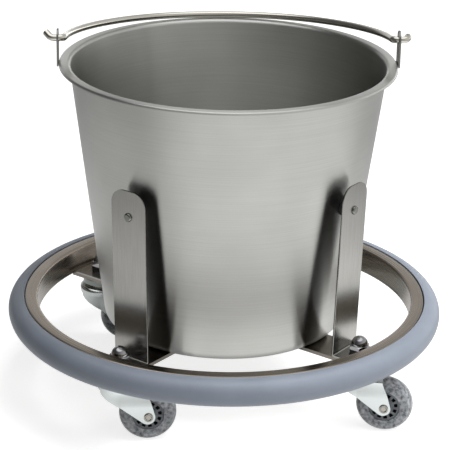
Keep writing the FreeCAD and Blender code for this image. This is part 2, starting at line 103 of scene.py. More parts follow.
def rounded(corners: list[tuple[float, float]], radii: list[float], step: float = 9.0) -> list[Vector]:
    """Rounds the inner corners of an outline in the XZ plane.

    Args:
        corners: (x, z) pairs in millimetres.
        radii: one radius for each corner between the first and the last.
        step: degrees of arc between two points.

    Returns:
        Points in millimetres, from the first corner to the last.
    """
    spots = [Vector((x, 0, z)) for x, z in corners]
    points = [spots[0]]
    for before, corner, after, radius in zip(spots, spots[1:], spots[2:], radii):
        back = (before - corner).normalized()
        ahead = (after - corner).normalized()
        half = back.angle(ahead) / 2
        centre = corner + (back + ahead).normalized() * (radius / math.sin(half))
        run = radius / math.tan(half)
        points += arc(centre, corner + back * run, corner + ahead * run, step)
    points.append(spots[-1])
    return points


# ---- bench

class Bench:
    """Hand tools that start and shape one mesh with Blender's own operators."""

    @staticmethod
    def clear() -> None:
        """Goes back to object mode with nothing selected."""
        if bpy.context.object and bpy.context.object.mode != "OBJECT":
            bpy.ops.object.mode_set(mode="OBJECT")
        bpy.ops.object.select_all(action="DESELECT")

    @staticmethod
    def name(label: str) -> bpy.types.Object:
        """Names the active object and its mesh.

        Args:
            label: the new name.

        Returns:
            The active object.
        """
        piece = bpy.context.object
        piece.name = label
        piece.data.name = label
        return piece

    @staticmethod
    def draw(label: str, points: list[Vector], closed: bool) -> bpy.types.Object:
        """Draws a chain of edges by extruding one vertex from point to point.

        Args:
            label: name of the piece.
            points: the chain's points in millimetres.
            closed: joins the last point to the first.

        Returns:
            The chain as an object, left in edit mode.
        """
        Bench.clear()
        bpy.context.tool_settings.mesh_select_mode = (True, False, False)
        bpy.ops.mesh.primitive_plane_add(size=SEED, location=points[0] * MM)
        piece = Bench.name(label)
        bpy.ops.object.transform_apply(location=True, rotation=True, scale=True)
        bpy.ops.object.mode_set(mode="EDIT")
        bpy.ops.mesh.select_all(action="SELECT")
        bpy.ops.mesh.merge(type="CENTER")
        for here, there in zip(points, points[1:]):
            bpy.ops.mesh.extrude_vertices_move(TRANSFORM_OT_translate={"value": (there - here) * MM})
        if closed:
            step = (points[0] - points[-1]) * MM
            bpy.ops.mesh.extrude_vertices_move(TRANSFORM_OT_translate={"value": step})
        bpy.ops.mesh.select_all(action="SELECT")
        bpy.ops.mesh.remove_doubles(threshold=SAME)
        return piece

    @staticmethod
    def spin(label: str, points: list[Vector], steps: int, closed: bool = True) -> bpy.types.Object:
        """Spins an outline in the XZ plane a full turn about Z.

        Args:
            label: name of the piece.
            points: the outline in millimetres; where it starts and ends on the axis, closed is False.
            steps: number of steps in the turn.
            closed: joins the outline's ends before the turn.

        Returns:
            The closed mesh with faces outwards, smooth between sharp edges.
        """
        piece = Bench.draw(label, points, closed)
        bpy.ops.mesh.select_all(action="SELECT")
        bpy.ops.mesh.spin(steps=steps, angle=FULL_TURN, center=(0, 0, 0), axis=(0, 0, 1))
        bpy.ops.mesh.select_all(action="SELECT")
        bpy.ops.mesh.remove_doubles(threshold=SAME)
        bpy.ops.mesh.normals_make_consistent(inside=False)
        return Bench.finish(piece)

    @staticmethod
    def rod(label: str, points: list[Vector], radius: float, sides: int = 5) -> bpy.types.Object:
        """Makes a round wire along a drawn chain.

        Args:
            label: name of the piece.
            points: the centre line in millimetres.
            radius: wire radius in millimetres.
            sides: bevel resolution of the round section.

        Returns:
            The wire as a closed mesh.
        """
        piece = Bench.draw(label, points, False)
        Bench.clear()
        piece.select_set(True)
        bpy.context.view_layer.objects.active = piece
        bpy.ops.object.convert(target="CURVE")
        curve = bpy.context.object.data
        curve.dimensions = "3D"
        curve.twist_mode = "MINIMUM"
        curve.bevel_depth = radius * MM
        curve.bevel_resolution = sides
        curve.use_fill_caps = True
        bpy.ops.object.convert(target="MESH")
        piece = Bench.name(label)
        bpy.ops.object.mode_set(mode="EDIT")
        bpy.ops.mesh.select_all(action="SELECT")
        bpy.ops.mesh.remove_doubles(threshold=SAME)
        bpy.ops.mesh.normals_make_consistent(inside=False)
        return Bench.finish(piece)

    @staticmethod
    def pick(piece: bpy.types.Object, wanted: Callable[[Vector], bool]) -> None:
        """Opens a piece in edit mode with only the wanted faces selected.

        Args:
            piece: the piece.
            wanted: says of a face's centre, in millimetres, whether the face is selected.
        """
        Bench.clear()
        bpy.context.view_layer.objects.active = piece
        bpy.context.tool_settings.mesh_select_mode = (False, False, True)
        bpy.ops.object.mode_set(mode="EDIT")
        bpy.ops.mesh.select_all(action="DESELECT")
        bpy.ops.object.mode_set(mode="OBJECT")
        for face in piece.data.polygons:
            face.select = wanted(face.center / MM)
        bpy.ops.object.mode_set(mode="EDIT")

    @staticmethod
    def finish(piece: bpy.types.Object) -> bpy.types.Object:
        """Leaves edit mode and shades smooth between faces that meet at less than SHARP.

        Args:
            piece: the piece in edit mode.

        Returns:
            The same piece.
        """
        bpy.ops.object.mode_set(mode="OBJECT")
        bpy.ops.object.select_all(action="DESELECT")
        piece.select_set(True)
        bpy.context.view_layer.objects.active = piece
        bpy.ops.object.shade_smooth_by_angle(angle=SHARP)
        return piece

    @staticmethod
    def placed(piece: bpy.types.Object, label: str, place: Matrix) -> bpy.types.Object:
        """Copies a piece with its own mesh and puts the place into the mesh.

        Args:
            piece: the piece to copy.
            label: name of the copy.
            place: turn and shift of the copy, in metres.

        Returns:
            The copy, with its object at the origin.
        """
        copy = piece.copy()
        copy.data = piece.data.copy()
        copy.name = label
        copy.data.name = label
        copy.data.transform(place)
        bpy.context.collection.objects.link(copy)
        return copy

    @staticmethod
    def scrap(piece: bpy.types.Object) -> None:
        """Throws a pattern piece away once its copies are placed."""
        bpy.data.objects.remove(piece, do_unlink=True)


# ---- finishes

def linear(code: str) -> tuple[float, float, float, float]:
    """Turns an sRGB hex colour into a linear one.

    Args:
        code: the colour as # and six hex digits.

    Returns:
        Linear red, green and blue, and an alpha of 1.
    """
    levels = [int(code[i:i + 2], 16) / 255 for i in (1, 3, 5)]
    bent = [v / 12.92 if v <= 0.04045 else ((v + 0.055) / 1.055) ** 2.4 for v in levels]
    return (bent[0], bent[1], bent[2], 1.0)


def add(tree: bpy.types.NodeTree, kind: str, inputs: dict[Any, Any] | None = None,
        **settings: Any) -> bpy.types.Node:
    """Adds one node with its settings and links.

    Args:
        tree: tree that gets the node.
        kind: the node's type.
        inputs: socket name or number to a value, or to the socket that feeds it.
        settings: the node's own properties.

    Returns:
        The new node.
    """
    node = tree.nodes.new(kind)
    for key, value in settings.items():
        setattr(node, key, value)
    for key, value in (inputs or {}).items():
        if isinstance(value, bpy.types.NodeSocket):
            tree.links.new(value, node.inputs[key])
        else:
            node.inputs[key].default_value = value
    return node


@dataclass(frozen=True)
class Ramp:
    """Level that changes while another value goes from start to stop."""

    start: float
    stop: float
    before: float
    after: float

    def sockets(self, value: bpy.types.NodeSocket) -> dict[str, Any]:
        """Inputs of a Map Range node that draws the ramp.

        Args:
            value: the value that the level follows.

        Returns:
            Socket names to what goes into them.
        """
        return {"Value": value, "From Min": self.start, "From Max": self.stop, "To Min": self.before,
                "To Max": self.after}


class Grain(Enum):
    """Which way a belt or drawing die left its lines."""

    AROUND = "round the Z axis"
    UPRIGHT = "up and down"
    BAR = "along a bar on the +45 degree diagonal"
    CROSS_BAR = "along a bar on the -45 degree diagonal"


@dataclass(frozen=True)
class Finish:
    """A material: two colours, a roughness and a pattern of its own."""

    name: str
    pale: str
    dull: str
    roughness: float

    def start(self) -> tuple[bpy.types.Material, bpy.types.NodeTree, bpy.types.Node]:
        """Makes the material with one Principled shader.

        Returns:
            The material, its tree and its shader.
        """
        material = bpy.data.materials.new(self.name)
        material.use_nodes = True
        tree = material.node_tree
        return material, tree, tree.nodes["Principled BSDF"]

    def painted_back_shade(self, tree: bpy.types.NodeTree, colour: bpy.types.NodeSocket) -> bpy.types.NodeSocket:
        """Colour of the whole piece from that of its face; the same, unless shade is painted on the back."""
        return colour

    def skin(self, tree: bpy.types.NodeTree, shader: bpy.types.Node, tone: bpy.types.NodeSocket,
             wear: bpy.types.NodeSocket, spread: float) -> None:
        """Feeds the shader its colour and its roughness.

        Args:
            tree: the material's tree.
            shader: the material's shader.
            tone: 0 where the piece is dull and 1 where it is pale.
            wear: noise that the roughness follows.
            spread: share by which the roughness goes up and down.
        """
        colour = add(tree, "ShaderNodeMix", {"Factor": tone, 6: linear(self.dull), 7: linear(self.pale)},
                     data_type="RGBA").outputs[2]
        rough = Ramp(NOISE_LOW, NOISE_HIGH, self.roughness * (1 - spread), self.roughness * (1 + spread))
        tree.links.new(self.painted_back_shade(tree, colour), shader.inputs["Base Color"])
        tree.links.new(add(tree, "ShaderNodeMapRange", rough.sockets(wear)).outputs[0],
                       shader.inputs["Roughness"])

    def make(self) -> bpy.types.Material:
        """Makes the material; each finish has its own way."""
        raise NotImplementedError


@dataclass(frozen=True)
class BrushedSteel(Finish):
    """Type 304 stainless, belt brushed: fine parallel lines that smear reflections across them."""

    grain: Grain
    anisotropy: float = 0.6
    line_mm: float = 0.9        # real lines are near 0.05 mm wide, too fine to show
    run_mm: float = 120.0
    cloud_mm: float = 71.43
    turn_mm: float = 150.0      # mean radius of what is brushed round
    bump_mm: float = 0.002
    spread: float = 0.15
    tone: Ramp = Ramp(0.75, 1.25, 0.0, 1.0)
    # Colour of the shade painted on the back of a strip; empty for none.
    back: str = ""
    back_mm: float = 136.7
    lean: float = 0.0303

    def across(self, tree: bpy.types.NodeTree) -> bpy.types.NodeSocket:
        """Coordinates in which every line of the grain runs along X.

        Args:
            tree: the material's tree.

        Returns:
            A vector socket: X along the grain, Y and Z across it, in line widths.
        """
        place = add(tree, "ShaderNodeTexCoord").outputs["Object"]
        line = 1 / (self.line_mm * MM)
        run = 1 / (self.run_mm * MM)
        if self.grain is Grain.UPRIGHT:
            return add(tree, "ShaderNodeMapping", {"Vector": place, "Scale": (line, line, run)}).outputs[0]
        if self.grain is not Grain.AROUND:
            turn = math.radians(-45 if self.grain is Grain.BAR else 45)
            return add(tree, "ShaderNodeMapping",
                       {"Vector": place, "Rotation": (0, 0, turn), "Scale": (run, line, line)}).outputs[0]
        parts = add(tree, "ShaderNodeSeparateXYZ", {0: place})
        angle = add(tree, "ShaderNodeMath", {0: parts.outputs[1], 1: parts.outputs[0]}, operation="ARCTAN2")
        flat = add(tree, "ShaderNodeCombineXYZ", {0: parts.outputs[0], 1: parts.outputs[1]})
        reach = add(tree, "ShaderNodeVectorMath", {0: flat.outputs[0]}, operation="LENGTH")
        around = add(tree, "ShaderNodeMath", {0: angle.outputs[0], 1: self.turn_mm * MM * run},
                     operation="MULTIPLY")
        out = add(tree, "ShaderNodeMath", {0: reach.outputs["Value"], 1: line}, operation="MULTIPLY")
        high = add(tree, "ShaderNodeMath", {0: parts.outputs[2], 1: line}, operation="MULTIPLY")
        return add(tree, "ShaderNodeCombineXYZ",
                   {0: around.outputs[0], 1: out.outputs[0], 2: high.outputs[0]}).outputs[0]

    def tangent(self, tree: bpy.types.NodeTree) -> bpy.types.NodeSocket:
        """Direction of the grain for the shader's anisotropy.

        Args:
            tree: the material's tree.

        Returns:
            A tangent socket.
        """
        if self.grain is Grain.AROUND:
            return add(tree, "ShaderNodeTangent", direction_type="RADIAL", axis="Z").outputs[0]
        if self.grain is Grain.UPRIGHT:
            place = add(tree, "ShaderNodeTexCoord").outputs["Object"]
            flat = add(tree, "ShaderNodeVectorMath", {0: place, 1: (1, 1, 0)},
                       operation="MULTIPLY").outputs[0]
            out = add(tree, "ShaderNodeVectorMath", {0: flat}, operation="NORMALIZE").outputs[0]
            return add(tree, "ShaderNodeVectorMath", {0: out, 1: UP}, operation="ADD").outputs[0]
        side = 1 if self.grain is Grain.BAR else -1
        return add(tree, "ShaderNodeCombineXYZ", {0: 1.0, 1: side, 2: 0.0}).outputs[0]

    def painted_back_shade(self, tree: bpy.types.NodeTree, colour: bpy.types.NodeSocket) -> bpy.types.NodeSocket:
        """Paints shade on the back of strips that stand square to the diagonals and lean outwards.

        Args:
            tree: the material's tree.
            colour: colour of the polished face.

        Returns:
            A colour socket.
        """
        if not self.back:
            return colour
        place = add(tree, "ShaderNodeTexCoord").outputs["Object"]
        size = add(tree, "ShaderNodeVectorMath", {0: place}, operation="ABSOLUTE").outputs[0]
        reach = add(tree, "ShaderNodeVectorMath", {0: size, 1: (DIAGONAL, DIAGONAL, -self.lean)},
                    operation="DOT_PRODUCT").outputs["Value"]
        front = add(tree, "ShaderNodeMath", {0: reach, 1: self.back_mm * MM},
                    operation="GREATER_THAN").outputs[0]
        return add(tree, "ShaderNodeMix", {"Factor": front, 6: linear(self.back), 7: colour},
                   data_type="RGBA").outputs[2]

    def make(self) -> bpy.types.Material:
        """Makes the brushed metal: broken fine lines in tone, roughness and bump.

        Returns:
            The material.
        """
        material, tree, shader = self.start()
        lines = add(tree, "ShaderNodeTexNoise",
                    {"Vector": self.across(tree), "Scale": 1.0, "Detail": 3.0,
                     "Roughness": 0.6}).outputs["Fac"]
        cloud = add(tree, "ShaderNodeTexNoise",
                    {"Vector": add(tree, "ShaderNodeTexCoord").outputs["Object"],
                     "Scale": 1 / (self.cloud_mm * MM), "Detail": 2.0}).outputs["Fac"]
        both = add(tree, "ShaderNodeMath", {0: lines, 1: cloud}, operation="ADD").outputs[0]
        tone = add(tree, "ShaderNodeMapRange", self.tone.sockets(both)).outputs[0]
        bump = add(tree, "ShaderNodeBump",
                   {"Height": lines, "Strength": 1.0, "Distance": self.bump_mm * MM}).outputs[0]
        self.skin(tree, shader, tone, lines, self.spread)
        tree.links.new(bump, shader.inputs["Normal"])
        # A Tangent socket left empty falls back on generated coordinates, so a node feeds it.
        tree.links.new(self.tangent(tree), shader.inputs["Tangent"])
        shader.inputs["Metallic"].default_value = 1.0
        shader.inputs["Anisotropic"].default_value = self.anisotropy
        shader.inputs["Anisotropic Rotation"].default_value = QUARTER
        return material


@dataclass(frozen=True)
class PlatedSteel(Finish):
    """Plated or polished metal: an even mirror with faint clouding from handling."""

    cloud_mm: float = 12.0
    spread: float = 0.2

    def make(self) -> bpy.types.Material:
        """Makes the plated metal, clouded in tone and roughness.

        Returns:
            The material.
        """
        material, tree, shader = self.start()
        cloud = add(tree, "ShaderNodeTexNoise",
                    {"Vector": add(tree, "ShaderNodeTexCoord").outputs["Object"],
                     "Scale": 1 / (self.cloud_mm * MM), "Detail": 4.0}).outputs["Fac"]
        self.skin(tree, shader, cloud, cloud, self.spread)
        shader.inputs["Metallic"].default_value = 1.0
        return material


@dataclass(frozen=True)
class MouldedPlastic(Finish):
    """Extruded or moulded polymer: soft gloss, faint flow marks and a fine matte texture."""

    mottle_mm: float
    grain_mm: float = 0.6
    bump_mm: float = 0.02
    spread: float = 0.1
    tone: Ramp = Ramp(0.35, 0.65, 0.0, 1.0)

    def make(self) -> bpy.types.Material:
        """Makes the polymer: mottled tone over a fine bump.

        Returns:
            The material.
        """
        material, tree, shader = self.start()
        place = add(tree, "ShaderNodeTexCoord").outputs["Object"]
        mottle = add(tree, "ShaderNodeTexNoise",
                     {"Vector": place, "Scale": 1 / (self.mottle_mm * MM), "Detail": 5.0,
                      "Roughness": 0.6}).outputs["Fac"]
        tone = add(tree, "ShaderNodeMapRange", self.tone.sockets(mottle)).outputs[0]
        grain = add(tree, "ShaderNodeTexNoise",
                    {"Vector": place, "Scale": 1 / (self.grain_mm * MM), "Detail": 2.0}).outputs["Fac"]
        bump = add(tree, "ShaderNodeBump",
                   {"Height": grain, "Strength": 1.0, "Distance": self.bump_mm * MM}).outputs[0]
        self.skin(tree, shader, tone, mottle, self.spread)
        tree.links.new(bump, shader.inputs["Normal"])
        return material


@dataclass
class Finishes:
    """Every finish on the kick bucket, made once."""

    pail: bpy.types.Material = field(init=False)
    strap: bpy.types.Material = field(init=False)
    ring: bpy.types.Material = field(init=False)
    bar: bpy.types.Material = field(init=False)
    cross_bar: bpy.types.Material = field(init=False)
    wire: bpy.types.Material = field(init=False)
    ear: bpy.types.Material = field(init=False)
    chrome: bpy.types.Material = field(init=False)
    screw: bpy.types.Material = field(init=False)
    zinc: bpy.types.Material = field(init=False)
    cup: bpy.types.Material = field(init=False)
    steel: bpy.types.Material = field(init=False)
    bumper: bpy.types.Material = field(init=False)
    tread: bpy.types.Material = field(init=False)
    core: bpy.types.Material = field(init=False)
    pocket: bpy.types.Material = field(init=False)
    pad: bpy.types.Material = field(init=False)

    def __post_init__(self) -> None:
        """Makes the materials."""
        # Deep-drawn 304, brushed on the lathe: satin rings that draw highlights out up and down.
        self.pail = BrushedSteel("satin_304_drawn", "#c8c8c4", "#bcbcb8", 0.31, Grain.AROUND, 0.97,
                                 bump_mm=0.0002, spread=0.05).make()
        # Strip 304 brushed along its length: darker and sharper than the pail.
        # Its back is painted dark as shade, which shows as a dark streak mirrored in the pail.
        self.strap = BrushedSteel("brushed_304_strip", "#aaa9a5", "#9c9b96", 0.25, Grain.UPRIGHT,
                                  bump_mm=0.0007, spread=0.07, back="#3c3b38").make()
        # Rolled 304, brushed round after rolling: warm and darker, with long streaks.
        self.ring = BrushedSteel("brushed_304_rolled", "#a0978c", "#8e857a", 0.26, Grain.AROUND).make()
        # Flat bar 304 brushed along its length: the darkest steel, with the pail's shade partly painted into
        # its colour.
        self.bar = BrushedSteel("brushed_304_bar", "#8f8a82", "#7f7a72", 0.2, Grain.BAR).make()
        self.cross_bar = BrushedSteel("brushed_304_cross_bar", "#8f8a82", "#7f7a72", 0.2,
                                      Grain.CROSS_BAR).make()
        # Bright drawn stainless wire, polished after bending: crisp light and dark lines along it.
        self.wire = PlatedSteel("polished_304_wire", "#d2cfc6", "#c2bfb6", 0.16).make()
        # Tabs of 304 sheet, brushed up and down by hand: a soft grey.
        self.ear = BrushedSteel("brushed_304_ear", "#8f8f8b", "#7f7f7b", 0.3, Grain.UPRIGHT).make()
        # Nickel-chrome plate on the cap nuts: a hard, dark mirror.
        self.chrome = PlatedSteel("nickel_chrome_plate", "#a2a2a4", "#919193", 0.05).make()
        # Passivated steel screws: a small, slightly clouded mirror.
        self.screw = PlatedSteel("passivated_screw_steel", "#8f8f8b", "#74746f", 0.14, cloud_mm=3.0).make()
        # Bright zinc plate on the pressed forks: pale, slightly blue, softly mirrored.
        self.zinc = PlatedSteel("bright_zinc_plate", "#cfd4d3", "#c0c6c5", 0.24).make()
        # Zinc plate on the raceway cups, darker than on the forks: a cloudy blue-grey.
        self.cup = PlatedSteel("darker_zinc_plate", "#8f9592", "#777d7a", 0.3).make()
        # Turned mild steel of axles, bushes and races: bare and faintly oily.
        self.steel = PlatedSteel("turned_mild_steel", "#a9a79f", "#8f8d86", 0.25).make()
        # Extruded soft PVC: matte blue-grey with a faint wax bloom.
        self.bumper = MouldedPlastic("extruded_grey_pvc", "#8f97a4", "#89919e", 0.42, 30.0).make()
        # Cast polyurethane, cloudy grey: bubbles and flow show as pale and dark specks.
        self.tread = MouldedPlastic("cast_grey_polyurethane", "#c6c9cd", "#5c6066", 0.3, 3.5).make()
        # Moulded nylon cores: an even mid grey with a soft gloss.
        self.core = MouldedPlastic("moulded_grey_nylon", "#7c8085", "#5c6065", 0.4, 6.0).make()
        # Painted shade at the bottom of a moulding pocket, where no light gets to.
        self.pocket = MouldedPlastic("shaded_nylon_pocket", "#101113", "#0a0b0c", 0.7, 6.0).make()
        # Moulded rubber pads: flat black, with hardly any gloss.
        self.pad = MouldedPlastic("moulded_black_rubber", "#26262a", "#1c1c1f", 0.6, 10.0).make()


# ---- pieces

@dataclass
class Pail:
    """Drawn pail with an out-turned, turned-down rim. Sizes in millimetres."""

    finishes: Finishes
    floor_z: float = 72.7
    rim_z: float = 324.0
    base_r: float = 113.9
    mouth_r: float = 146.35
    sheet: float = 1.2
    rim_reach: float = 9.4
    rim_drop: float = 2.4
    base_corner: float = 10.0
    rim_corner: float = 4.0
    edge_corner: float = 2.0
    steps: int = 256

    @property
    def rim_r(self) -> float:
        """Radius of the rim's outer edge."""
        return self.mouth_r + self.rim_reach

    def outline(self) -> list[Vector]:
        """Section of the shell: the outer skin up, round the edge, and the inner skin down.

        Returns:
            Points from the axis back to the axis.
        """
        slope = math.atan((self.mouth_r - self.base_r) / (self.rim_z - self.sheet - self.floor_z))
        low = self.rim_z - self.rim_drop
        inset = self.sheet / math.cos(slope)
        floor = self.floor_z + self.sheet
        drift = math.tan(slope)
        under = self.rim_z - self.sheet
        edge = self.rim_r - self.sheet
        outer = rounded([(0, self.floor_z), (self.base_r, self.floor_z), (self.mouth_r, under),
                         (edge, under), (edge, low)],
                        [self.base_corner, self.rim_corner - self.sheet, self.edge_corner - self.sheet])
        inner = rounded([(self.rim_r, low), (self.rim_r, self.rim_z),
                         (self.mouth_r - inset + self.sheet * drift, self.rim_z),
                         (self.base_r - inset + self.sheet * drift, floor), (0, floor)],
                        [self.edge_corner, self.rim_corner, self.base_corner - self.sheet])
        return outer + inner

    def build(self) -> list[bpy.types.Object]:
        """Spins the shell and gives it its finish.

        Returns:
            The new pieces.
        """
        shell = Bench.spin("pail_shell", self.outline(), self.steps, closed=False)
        shell.data.materials.append(self.finishes.pail)
        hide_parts("bucket_shell")
        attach(shell, "pail")
        return [shell]


@dataclass(frozen=True)
class Hook:
    """Bend at one end of the bail: which side, degrees of turn and tilt, and a straight tail in mm."""

    side: int
    turn: float
    tilt: float
    tail: float


@dataclass
class Bail:
    """Round wire handle that lies back on the rim. Sizes in millimetres."""

    finishes: Finishes
    pail: Pail
    azimuth: float = -5.55
    wire_r: float = 3.175
    pivot_rise: float = 21.0
    setback: float = 2.15
    crown_ease: float = 13.6
    side_ease: float = 36.0
    shoulder_r: float = 4.5
    ear_thick: float = 1.6
    hook_start: float = 2.4
    hook_r: float = 5.5
    hooks: tuple[Hook, Hook] = (Hook(1, 88, 18, 1.5), Hook(-1, 55, 40, 5.5))
    crown_step: float = 2.0
    shoulder_step: float = 12.0
    hook_step: float = 9.0
    reach: float = field(init=False)
    crown_r: float = field(init=False)
    side_r: float = field(init=False)
    inside: float = field(init=False)
    hook_at: float = field(init=False)
    drop: float = field(init=False)

    def __post_init__(self) -> None:
        """Works out the bail's reaches from the pail's rim."""
        self.reach = self.pail.rim_r - self.setback
        self.crown_r = self.reach - self.crown_ease
        self.side_r = self.crown_r + self.side_ease
        self.inside = self.pail.rim_r + WELD_GAP - SEAT_GAP
        self.hook_at = self.pail.rim_r + WELD_GAP + self.ear_thick + self.hook_start
        self.drop = self.pivot_rise - self.wire_r - SEAT_GAP

    def hook(self, end: Hook) -> list[Vector]:
        """End of the wire outside one ear.

        Args:
            end: the bend at that end.

        Returns:
            Points from the shoulder's end to the wire's tip.
        """
        out = Vector((end.side, 0, 0))
        tilt = math.radians(end.tilt)
        rise = Vector((0, math.cos(tilt), math.sin(tilt)))
        angle = math.radians(end.turn)
        start = out * self.hook_at
        centre = start + rise * self.hook_r
        last = centre + out * (self.hook_r * math.sin(angle)) - rise * (self.hook_r * math.cos(angle))
        heading = out * math.cos(angle) + rise * math.sin(angle)
        return [out * self.inside] + arc(centre, start, last, self.hook_step) + [last + heading * end.tail]

    def side(self) -> list[Vector]:
        """Right half of the loop, from the crown's middle to the shoulder.

        Returns:
            Points in the bail's plane.
        """
        crown = Vector((0, self.reach - self.crown_r, 0))
        shoulder = Vector((self.inside, self.shoulder_r, 0))
        near = self.side_r - self.crown_r
        far = self.side_r + self.shoulder_r
        run = shoulder - crown
        along = (near**2 - far**2 + run.length**2) / (2 * run.length)
        across = math.sqrt(near**2 - along**2)
        run.normalize()
        centre = crown + run * along + Vector((run.y, -run.x, 0)) * across
        crown_end = centre + (crown - centre).normalized() * self.side_r
        side_end = centre + (shoulder - centre).normalized() * self.side_r
        top = arc(crown, Vector((0, self.reach, 0)), crown_end, self.crown_step)
        flank = arc(centre, crown_end, side_end, self.crown_step)
        bend = arc(shoulder, side_end, Vector((self.inside, 0, 0)), self.shoulder_step)
        return top + flank[1:] + bend[1:]

    def build(self) -> list[bpy.types.Object]:
        """Bends the wire and lays it back on the rim.

        Returns:
            The new pieces.
        """
        right = self.side() + self.hook(self.hooks[0])[1:]
        left = [Vector((-p.x, p.y, p.z)) for p in self.side()] + self.hook(self.hooks[1])[1:]
        wire = Bench.rod("bail_wire", left[::-1] + right[1:], self.wire_r)
        lay = Matrix.Rotation(-math.asin(self.drop / self.reach), 4, "X")
        pivot_z = self.pail.rim_z + self.pivot_rise
        wire.data.transform(Matrix.Translation((0, 0, pivot_z * MM))
                            @ Matrix.Rotation(math.radians(self.azimuth), 4, "Z") @ lay)
        wire.data.materials.append(self.finishes.wire)
        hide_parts("bail_handle")
        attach(wire, "bail")
        return [wire]


@dataclass
class Carriage:
    """Rolled ring and the bumper round it. Sizes in millimetres."""

    finishes: Finishes
    stem_r: float = 156.0
    deck_z: float = 69.5
    ring_setout: float = 22.7
    ring_deep: float = 12.8
    ring_high: float = 25.4
    ring_edge: float = 2.5
    ring_step: float = 18.0
    bumper_deep: float = 15.1
    bumper_over: float = 0.25
    bumper_lip: float = 0.6
    nose_flat: float = 0.01
    nose_step: float = 7.5
    steps: int = 288
    ring_in: float = field(init=False)
    ring_out: float = field(init=False)

    def __post_init__(self) -> None:
        """Works out the ring's radii from the casters' stems."""
        self.ring_in = self.stem_r + self.ring_setout
        self.ring_out = self.ring_in + self.ring_deep

    def ring(self) -> bpy.types.Object:
        """Spins the rolled ring.

        Returns:
            The ring.
        """
        top = self.deck_z + self.ring_high
        middle = (self.ring_in + self.ring_out) / 2
        outline = rounded([(middle, self.deck_z), (self.ring_out, self.deck_z), (self.ring_out, top),
                           (self.ring_in, top), (self.ring_in, self.deck_z), (middle, self.deck_z)],
                          [self.ring_edge] * 4, step=self.ring_step)
        ring = Bench.spin("rolled_ring", outline[:-1], self.steps)
        ring.data.materials.append(self.finishes.ring)
        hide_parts("frame_ring")
        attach(ring, "carriage")
        return ring

    def bumper(self) -> bpy.types.Object:
        """Spins the D-section strip.

        Returns:
            The bumper.
        """
        inner = self.ring_out + WELD_GAP
        low = self.deck_z - self.bumper_over
        high = self.deck_z + self.ring_high + self.bumper_over
        middle = (low + high) / 2
        nose_r = (high - low) / 2 - self.nose_flat
        nose = inner + self.bumper_deep
        outline = rounded([(inner, middle), (inner, low), (nose, low), (nose, high), (inner, high),
                           (inner, middle)], [self.bumper_lip, nose_r, nose_r, self.bumper_lip],
                          step=self.nose_step)
        strip = Bench.spin("bumper_strip", outline[:-1], self.steps)
        strip.data.materials.append(self.finishes.bumper)
        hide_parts("bumper")
        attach(strip, "carriage")
        return strip

    def build(self) -> list[bpy.types.Object]:
        """Makes the ring and the bumper.

        Returns:
            The new pieces.
        """
        return [self.ring(), self.bumper()]


